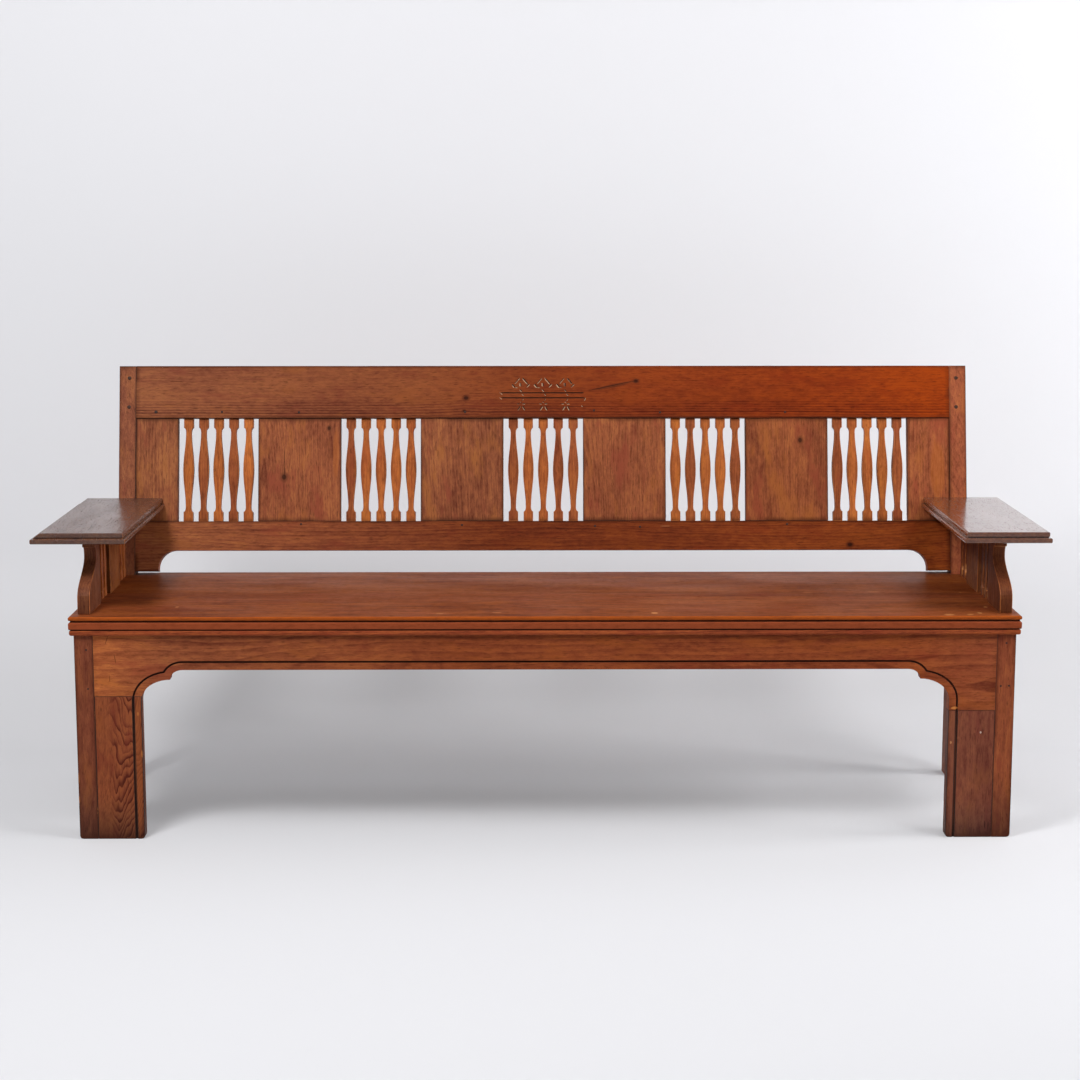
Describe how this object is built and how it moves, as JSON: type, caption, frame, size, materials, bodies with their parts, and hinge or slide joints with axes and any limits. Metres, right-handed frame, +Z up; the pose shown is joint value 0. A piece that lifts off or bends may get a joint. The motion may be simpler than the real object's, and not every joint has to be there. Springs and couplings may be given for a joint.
{
  "type": "deacons bench",
  "caption": "Long stained-pine deacon's bench with a raked back of flat panels and sawn balusters, broad flat arms over S-shaped supports, and a plank seat on an arched front frame.",
  "frame": {"origin": "on the floor, under the middle of the bench's bounding box", "axes": "+X along the bench to the sitter's left, which is the right of someone facing it, +Y from the front towards the back, +Z up"},
  "size_m": [2.051, 0.6218, 0.9187],
  "materials": {
    "frame": "pine under a mahogany stain and worn varnish",
    "leg": "pine under a darker mahogany stain, with strong grain",
    "seat": "stained pine, varnish polished by use",
    "back": "stained and varnished pine",
    "panel": "stained and varnished pine, with knots",
    "baluster": "stained and varnished pine, sawn flat",
    "arm": "stained pine, glossy varnish",
    "support": "stained and varnished pine",
    "hidden": "pine, thinly stained, out of sight under the seat",
    "peg": "dark end grain of the dowels through the joints",
    "nail": "dark nail heads set into the wood",
    "carving": "dark bottom of the incised ornament"
  },
  "bodies": {
    "root": {"front_post_left": "leg", "front_post_right": "leg", "leg_board_left": "leg", "leg_board_right": "leg", "front_apron": "frame", "rear_apron": "hidden", "side_rail_left": "hidden", "side_rail_right": "hidden", "seat_bearer_left": "hidden", "seat_bearer_right": "hidden", "seat_front_board": "seat", "seat_back_board": "seat", "seat_moulding_front": "seat", "seat_moulding_left": "seat", "seat_moulding_right": "seat", "rear_post_left": "back", "rear_post_right": "back", "back_top_rail": "back", "back_lower_rail": "back", "back_panel_1": "panel", "back_panel_2": "panel", "back_panel_3": "panel", "back_panel_4": "panel", "back_panel_5": "panel", "back_panel_6": "panel", "back_baluster_1_1": "baluster", "back_baluster_1_2": "baluster", "back_baluster_1_3": "baluster", "back_baluster_1_4": "baluster", "back_baluster_1_5": "baluster", "back_baluster_2_1": "baluster", "back_baluster_2_2": "baluster", "back_baluster_2_3": "baluster", "back_baluster_2_4": "baluster", "back_baluster_2_5": "baluster", "back_baluster_3_1": "baluster", "back_baluster_3_2": "baluster", "back_baluster_3_3": "baluster", "back_baluster_3_4": "baluster", "back_baluster_3_5": "baluster", "back_baluster_4_1": "baluster", "back_baluster_4_2": "baluster", "back_baluster_4_3": "baluster", "back_baluster_4_4": "baluster", "back_baluster_4_5": "baluster", "back_baluster_5_1": "baluster", "back_baluster_5_2": "baluster", "back_baluster_5_3": "baluster", "back_baluster_5_4": "baluster", "back_baluster_5_5": "baluster", "arm_left": "arm", "arm_right": "arm", "arm_scroll_left": "support", "arm_scroll_right": "support", "arm_slat_left": "support", "arm_slat_right": "support", "arm_balusters_front_left": "baluster", "arm_balusters_front_right": "baluster", "arm_balusters_rear_left": "baluster", "arm_balusters_rear_right": "baluster"}
  },
  "joints": []
}
